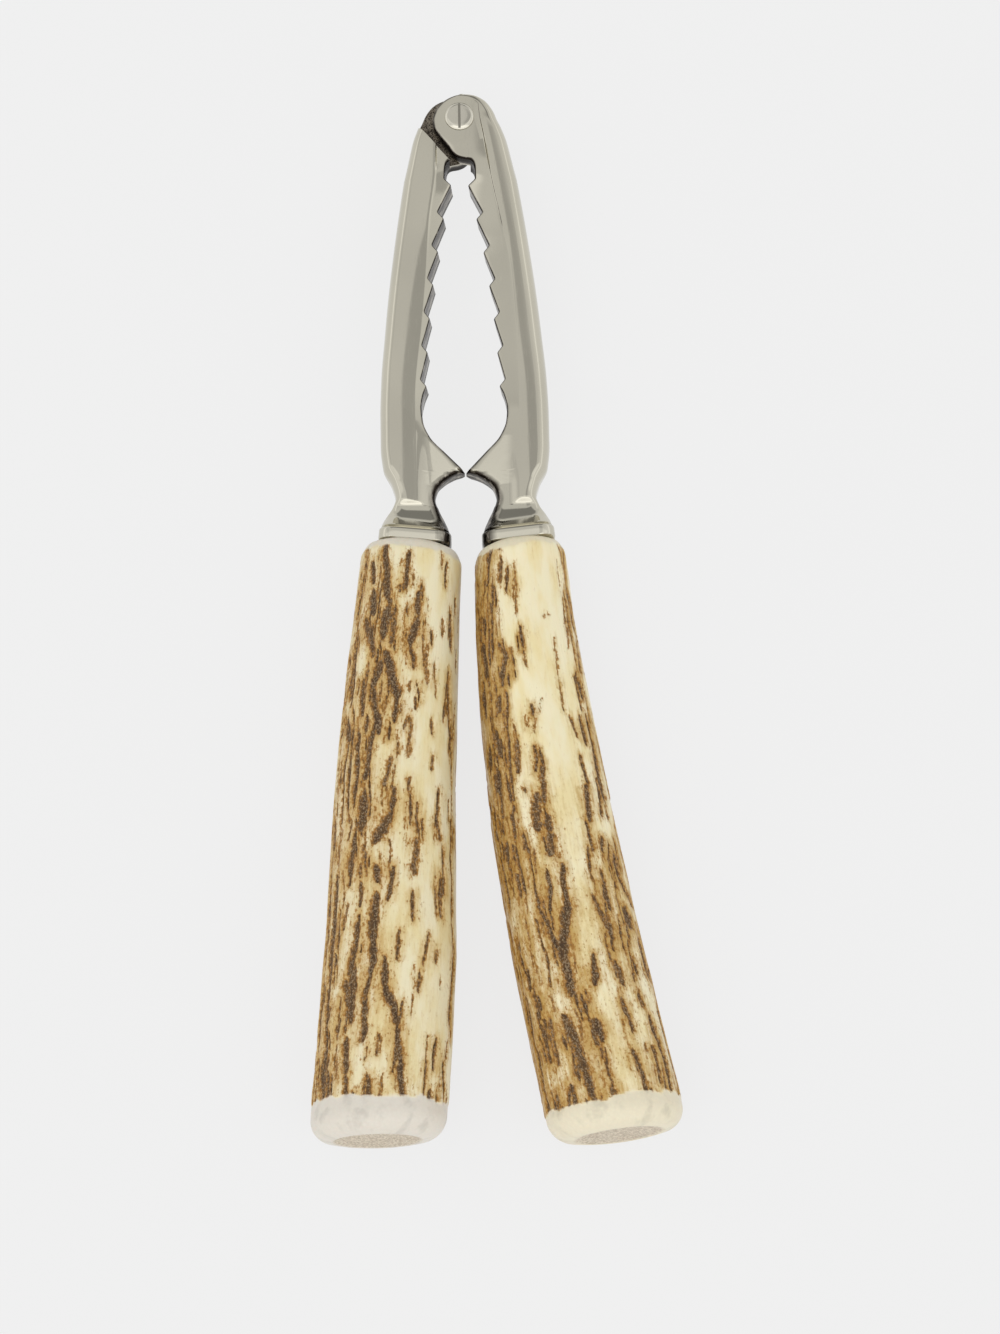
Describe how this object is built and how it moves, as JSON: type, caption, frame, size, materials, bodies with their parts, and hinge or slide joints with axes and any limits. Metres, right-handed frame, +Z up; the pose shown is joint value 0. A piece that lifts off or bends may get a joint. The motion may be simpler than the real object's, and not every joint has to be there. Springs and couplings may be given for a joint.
{
  "type": "nutcracker",
  "caption": "Plier nutcracker with toothed metal jaws hinged at the head by a half-lap joint and curved stag antler handles.",
  "frame": {"origin": "bottom centre of the box round the closed nutcracker as it lies flat", "axes": "+Y from the handles towards the hinged head, +Z up and parallel to the pivot, +X towards the right arm"},
  "size_m": [0.0721, 0.2206, 0.0234],
  "materials": {
    "plated_arm": "polished",
    "plated_pivot": "polished",
    "threaded_steel": "satin",
    "stag_antler": "satin",
    "bonding_resin": "matte"
  },
  "bodies": {
    "left_side": {"left_arm": "plated_arm", "left_tang": "threaded_steel", "left_bond": "bonding_resin", "left_handle": "stag_antler", "pivot_screw": "plated_pivot", "pivot_nut": "plated_pivot"},
    "right_side": {"right_arm": "plated_arm", "right_tang": "threaded_steel", "right_bond": "bonding_resin", "right_handle": "stag_antler"}
  },
  "joints": [
    {"name": "arm_pivot", "type": "hinge", "parent": "left_side", "child": "right_side", "pos_m": [-0.00438, 0.10492, 0.01155], "axis": [0, 0, 1], "range_deg": [0, 170]}
  ]
}
